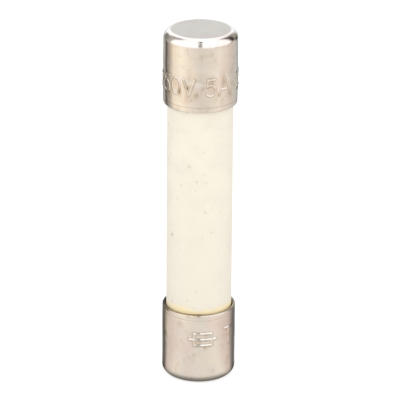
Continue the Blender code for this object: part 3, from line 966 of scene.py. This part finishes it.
class FUSE_OT_stage(bpy.types.Operator):
    """Add the floor, the studio light and the camera"""

    bl_idname = "fuse.stage"
    bl_label = "Stage and Camera"

    def sheet(self, name, radius, height, finish):
        """A flat round sheet centred under the fuse, which is part of the stage."""
        a = np.linspace(0.0, TURN, 96, endpoint=False)
        rim = np.stack([radius * np.cos(a), radius * np.sin(a), 0 * a + height], 1)
        mesh = bpy.data.meshes.new(name)
        mesh.from_pydata(rim.tolist(), [], [list(range(len(rim)))])
        mesh.materials.append(finish)
        obj = bpy.data.objects.new(name, mesh)
        bpy.context.scene.collection.objects.link(obj)
        return obj

    def floor(self, paper):
        """A wide sheet of white paper, kept out of the metal's reflections, which see the studio."""
        made, add, shader, place = new_material("white_background_paper")
        tooth = add("TexNoise", Vector=place, Scale=1 / (0.6 * MM), Detail=3.0)
        pale = add("ValToRGB", stops=[(0.3, shade(paper, 0.995)), (0.7, paper)], Fac=tooth)
        fill(shader, Base_Color=pale, Roughness=0.9, Specular_IOR_Level=0.0)
        # Backlit, as a light table is, so that the fuse throws next to no shadow
        fill(shader, Emission_Color=(1.0, 1.0, 1.0), Emission_Strength=0.65)
        self.sheet("paper_floor", 1.5, 0.0, made).visible_glossy = False

    def within(self, add, value, middle, half, soft):
        """1 inside middle +- half of an angle in degrees, falling to 0 over a soft edge."""
        off = add("Math", operation="SUBTRACT", _0=value, _1=middle)
        wrapped = add("Math", operation="WRAP", _0=off, _1=180.0, _2=-180.0)
        away = add("Math", operation="ABSOLUTE", _0=wrapped)
        edge = {"From_Min": half + soft / 2, "From_Max": half - soft / 2}
        return add("MapRange", **EASED, Value=away, **edge)

    def azimuth(self, add, place):
        """The direction of a place round Z in degrees: 0 towards the camera, growing to its right."""
        axes = add("SeparateXYZ", Vector=place).node.outputs
        towards = add("Math", operation="MULTIPLY", _0=axes["Y"], _1=-1.0)
        angle = add("Math", operation="ARCTAN2", _0=axes["X"], _1=towards)
        return add("Math", operation="DEGREES", _0=angle)

    def streaks(self, add, azimuth, stops):
        """A colour for each azimuth, from (degrees, colour) stops."""
        share = add("MapRange", Value=azimuth, From_Min=-180.0, From_Max=180.0)
        stops = [((degrees + 180) / 360, tone) for degrees, tone in stops]
        return add("ValToRGB", stops=stops, Fac=share)

    def studio(self):
        """The light: white for the camera, even for matte surfaces, and a studio for the metal.

        The studio is a white tent above and a table's sheen below, with boxes and flags hung in it.
        """
        world = bpy.data.worlds.new("studio")
        bpy.context.scene.world = world
        world.use_nodes = True
        add = partial(node, world.node_tree)
        direction = add("TexCoord", "Generated")
        axes = add("SeparateXYZ", Vector=direction).node.outputs
        above = add("Math", operation="ARCSINE", _0=axes["Z"])
        elevation = add("Math", operation="DEGREES", _0=above)
        azimuth = self.azimuth(add, direction)
        table = self.streaks(add, azimuth, TABLE_FROM_ABOVE)
        raised = add("MapRange", **EASED, Value=elevation, From_Min=-20.0, From_Max=10.0)
        tent = add("Mix", **COLOURS, Factor=raised, A=table, B=TENT)
        for tone, *place in FLAGS:
            across = self.within(add, azimuth, *place[:3])
            up = self.within(add, elevation, *place[3:])
            both = add("Math", operation="MULTIPLY", _0=across, _1=up)
            tent = add("Mix", **COLOURS, Factor=both, A=tent, B=tone)
        in_front = add("MapRange", **EASED, Value=axes["Y"], From_Min=1.0, From_Max=-1.0)
        even = add("Mix", **COLOURS, Factor=in_front, A=BACK_LIGHT, B=FRONT_LIGHT)
        is_glossy = add("LightPath", "Is Glossy Ray")
        is_camera = add("LightPath", "Is Camera Ray")
        light = add("Mix", **COLOURS, Factor=is_glossy, A=even, B=tent)
        shown = add("Mix", **COLOURS, Factor=is_camera, A=light, B=(1.0, 1.0, 1.0))
        fill(world.node_tree.nodes["Background"], Color=shown)

    def table_sheen(self):
        """A painted reflection of the table near the fuse as the lower cap sees it: streaks fanning out,
        with the fuse's painted shadow as dark streaks and a painted contact shadow at the foot.

        It is a disc just under the floor that only the metal's reflections meet, clear towards its rim.
        """
        made, add, shader, place = new_material("table_sheen_near_the_fuse")
        # Seen in the metal, a streak on the table runs out from the side of the fuse, not from its axis
        axes = add("SeparateXYZ", Vector=place).node.outputs
        across = add("Math", operation="ABSOLUTE", _0=axes["X"])
        past = add("Math", operation="SUBTRACT", _0=across, _1=2.9 * MM)
        clear_of = add("Math", operation="MAXIMUM", _0=past, _1=0.0)
        side = add("Math", operation="SIGN", _0=axes["X"])
        sideways = add("Math", operation="MULTIPLY", _0=clear_of, _1=side)
        behind = add("Math", operation="ADD", _0=axes["Y"], _1=1.0 * MM)
        from_side = add("CombineXYZ", X=sideways, Y=behind)
        # The dark streaks are the fuse's painted shadow on the table
        streaks = self.streaks(add, self.azimuth(add, from_side), TABLE_NEAR)
        radius = add("VectorMath", operation="LENGTH", _0=place)
        # Painted contact shadow: darker close to the fuse's foot
        painted_contact_shadow = add("MapRange", Value=radius, From_Min=3.0 * MM, From_Max=4.9 * MM, To_Min=0.24)
        glow = add("Emission", Color=streaks, Strength=painted_contact_shadow)
        clear = add("BsdfTransparent")
        reach = 24 * MM
        rim = {"From_Min": reach, "From_Max": reach - 7 * MM}
        fade = add("MapRange", **EASED, Value=radius, **rim)
        shown = add("MixShader", _0=fade, _1=clear, _2=glow)
        fill(made.node_tree.nodes["Material Output"], Surface=shown)
        sheet = self.sheet("table_sheen", reach, -0.004 * MM, made)
        for kind in ("camera", "diffuse", "transmission", "shadow", "volume_scatter"):
            setattr(sheet, f"visible_{kind}", False)

    def camera(self, settings):
        """A long lens at the given elevation, a little to one side of the fuse's middle."""
        tilt = settings.elevation
        back = Vector((0, -math.cos(tilt), math.sin(tilt)))
        up = Vector((0, math.sin(tilt), math.cos(tilt)))
        middle = Vector((0.04 * MM, 0, FUSE_TOP / 2)) + 0.20 * MM * up
        data = bpy.data.cameras.new("camera")
        data.lens = settings.lens
        data.sensor_width = 36.0
        data.clip_start, data.clip_end = 0.01, 10.0
        camera = bpy.data.objects.new("camera", data)
        turn = (-back).to_track_quat("-Z", "Y").to_matrix().to_4x4()
        roll = Matrix.Rotation(settings.roll, 4, "Z")
        camera.matrix_world = Matrix.Translation(middle + back * settings.distance) @ turn @ roll
        bpy.context.scene.collection.objects.link(camera)
        bpy.context.scene.camera = camera

    def execute(self, context):
        settings = context.scene.fuse_stage
        self.floor(tuple(settings.paper))
        self.studio()
        self.table_sheen()
        self.camera(settings)
        context.scene.view_settings.view_transform = "Standard"
        return {"FINISHED"}


# The white tent over the fuse, and the even light that matte surfaces get from behind and in front
TENT = (1.62, 1.74, 1.95)
BACK_LIGHT = (0.76, 0.79, 0.84)
FRONT_LIGHT = (1.27, 1.25, 1.20)

# The table's sheen as (azimuth, colour) stops: first as the upper cap sees it, then near the fuse, where
# the dark stops are the fuse's painted shadow on the table
TABLE_FROM_ABOVE = [
    (-180, (0.86, 0.92, 1.00)),
    (-164, (0.40, 0.41, 0.43)),
    (-150, (0.84, 0.86, 0.90)),
    (-141, (0.50, 0.49, 0.49)),
    (-131, (0.08, 0.07, 0.07)),
    (-123, (0.40, 0.38, 0.37)),
    (-106, (0.74, 0.67, 0.62)),
    (-92, (1.25, 1.14, 1.03)),
    (-62, (1.44, 1.36, 1.25)),
    (-32, (1.23, 1.15, 1.10)),
    (0, (1.03, 0.98, 0.955)),
    (35, (1.13, 1.06, 1.01)),
    (60, (1.26, 1.18, 1.12)),
    (85, (1.11, 1.04, 1.00)),
    (110, (0.95, 0.91, 0.90)),
    (142, (0.88, 0.89, 0.92)),
    (158, (0.60, 0.65, 0.70)),
    (180, (0.86, 0.92, 1.00)),
]
TABLE_NEAR = [
    (-180, (0.90, 0.93, 1.00)),
    (-172, (0.80, 0.82, 0.86)),
    (-160, (0.40, 0.41, 0.42)),
    (-148, (0.20, 0.19, 0.18)),
    (-132, (0.26, 0.25, 0.24)),
    (-120, (0.70, 0.65, 0.62)),
    (-109, (0.96, 0.86, 0.83)),
    (-90, (1.02, 0.91, 0.90)),
    (-42, (1.16, 1.10, 1.08)),
    (0, (1.08, 1.05, 1.05)),
    (36, (1.19, 1.13, 1.11)),
    (66, (1.06, 0.96, 0.95)),
    (96, (0.96, 0.84, 0.81)),
    (110, (0.78, 0.69, 0.68)),
    (123, (0.44, 0.41, 0.40)),
    (137, (0.24, 0.23, 0.23)),
    (150, (0.26, 0.26, 0.27)),
    (162, (0.70, 0.72, 0.76)),
    (180, (0.90, 0.93, 1.00)),
]

# Boxes and flags in the tent, the later ones in front: colour, then azimuth and elevation, each as its
# middle, half width and soft edge in degrees. The last three are the camera's stand and the camera.
FLAGS = [
    ((0.52, 0.50, 0.48), 130, 25, 18, 18, 26, 24),
    ((0.05, 0.05, 0.05), 119, 9, 8, 17, 14, 12),
    ((0.10, 0.10, 0.10), 126, 9, 8, 42, 14, 10),
    ((0.10, 0.10, 0.10), 139, 10, 10, -5, 9, 10),
    ((0.55, 0.50, 0.45), 103, 8, 8, -8, 3, 4),
    ((0.60, 0.58, 0.62), -122, 20, 14, 26, 36, 14),
    ((0.36, 0.35, 0.34), -137, 14, 12, 6, 17, 14),
    ((1.06, 1.12, 1.22), 180, 7, 7, 21, 8, 8),
    ((0.78, 0.75, 0.72), -1, 6, 6, 4, 10, 8),
    ((0.42, 0.41, 0.40), -1, 6, 5, 52, 38, 10),
    ((0.04, 0.04, 0.04), -1, 16, 8, 76, 7, 6),
]

OPERATORS = (
    FUSE_OT_caps,
    FUSE_OT_tube,
    FUSE_OT_cement,
    FUSE_OT_end_joints,
    FUSE_OT_trigger,
    FUSE_OT_heater,
    FUSE_OT_link,
    FUSE_OT_stage,
)

SETTINGS = {
    "fuse_caps": FuseCapSettings,
    "fuse_tube": FuseTubeSettings,
    "fuse_element": FuseElementSettings,
    "fuse_stage": FuseStageSettings,
}


class FUSE_PT_panel(bpy.types.Panel):
    """Lists the fuse's pieces and their settings"""

    bl_idname = "FUSE_PT_panel"
    bl_label = "Cartridge Fuse"
    bl_space_type = "VIEW_3D"
    bl_region_type = "UI"
    bl_category = "Fuse"

    def draw(self, context):
        for operator in OPERATORS:
            self.layout.operator(operator.bl_idname)
        for name, group in SETTINGS.items():
            box = self.layout.box()
            for setting in group.__annotations__:
                box.prop(getattr(context.scene, name), setting)


def register():
    for made in (*SETTINGS.values(), *OPERATORS, FUSE_PT_panel):
        bpy.utils.register_class(made)
    for name, group in SETTINGS.items():
        setattr(bpy.types.Scene, name, PointerProperty(type=group))


def unregister():
    for name in SETTINGS:
        delattr(bpy.types.Scene, name)
    for made in reversed((*SETTINGS.values(), *OPERATORS, FUSE_PT_panel)):
        bpy.utils.unregister_class(made)


def main():
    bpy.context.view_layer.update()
    register()
    bpy.ops.fuse.caps()
    bpy.ops.fuse.tube()
    bpy.ops.fuse.cement()
    bpy.ops.fuse.end_joints()
    bpy.ops.fuse.trigger()
    bpy.ops.fuse.heater()
    bpy.ops.fuse.link()
    bpy.ops.fuse.stage()


if __name__ == "__main__":
    main()
